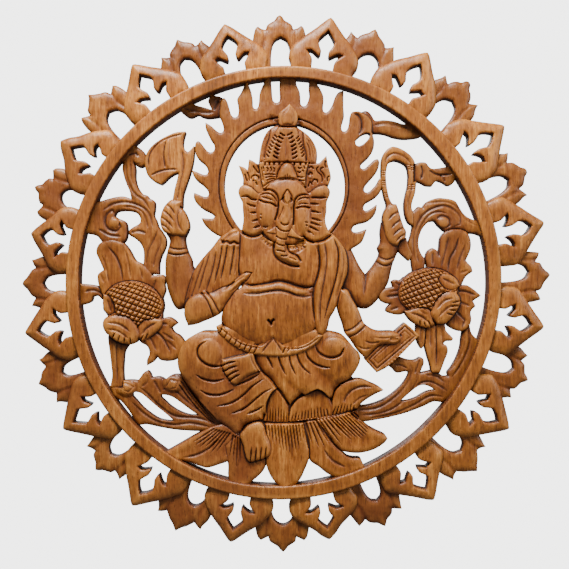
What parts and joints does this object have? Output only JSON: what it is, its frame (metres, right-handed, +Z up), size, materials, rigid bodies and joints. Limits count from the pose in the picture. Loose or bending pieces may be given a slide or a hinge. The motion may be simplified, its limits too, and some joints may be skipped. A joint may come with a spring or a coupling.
{
  "type": "carved wooden wall panel",
  "caption": "Round pierced wooden wall panel, carved in relief with a seated four-armed elephant-headed figure on a lotus, ringed by a leafy border.",
  "frame": {"origin": "centre of the ring, on the flat back that lies against the wall", "axes": "+Z up the wall, +X to the viewer's right, +Y into the wall; the carving faces -Y"},
  "size_m": [0.5974, 0.026, 0.6073],
  "materials": {
    "carved_wood": "warm brown oiled hardwood with a soft wax sheen, darker in the cuts"
  },
  "bodies": {
    "root": {"carved_panel": "carved_wood"}
  },
  "joints": []
}
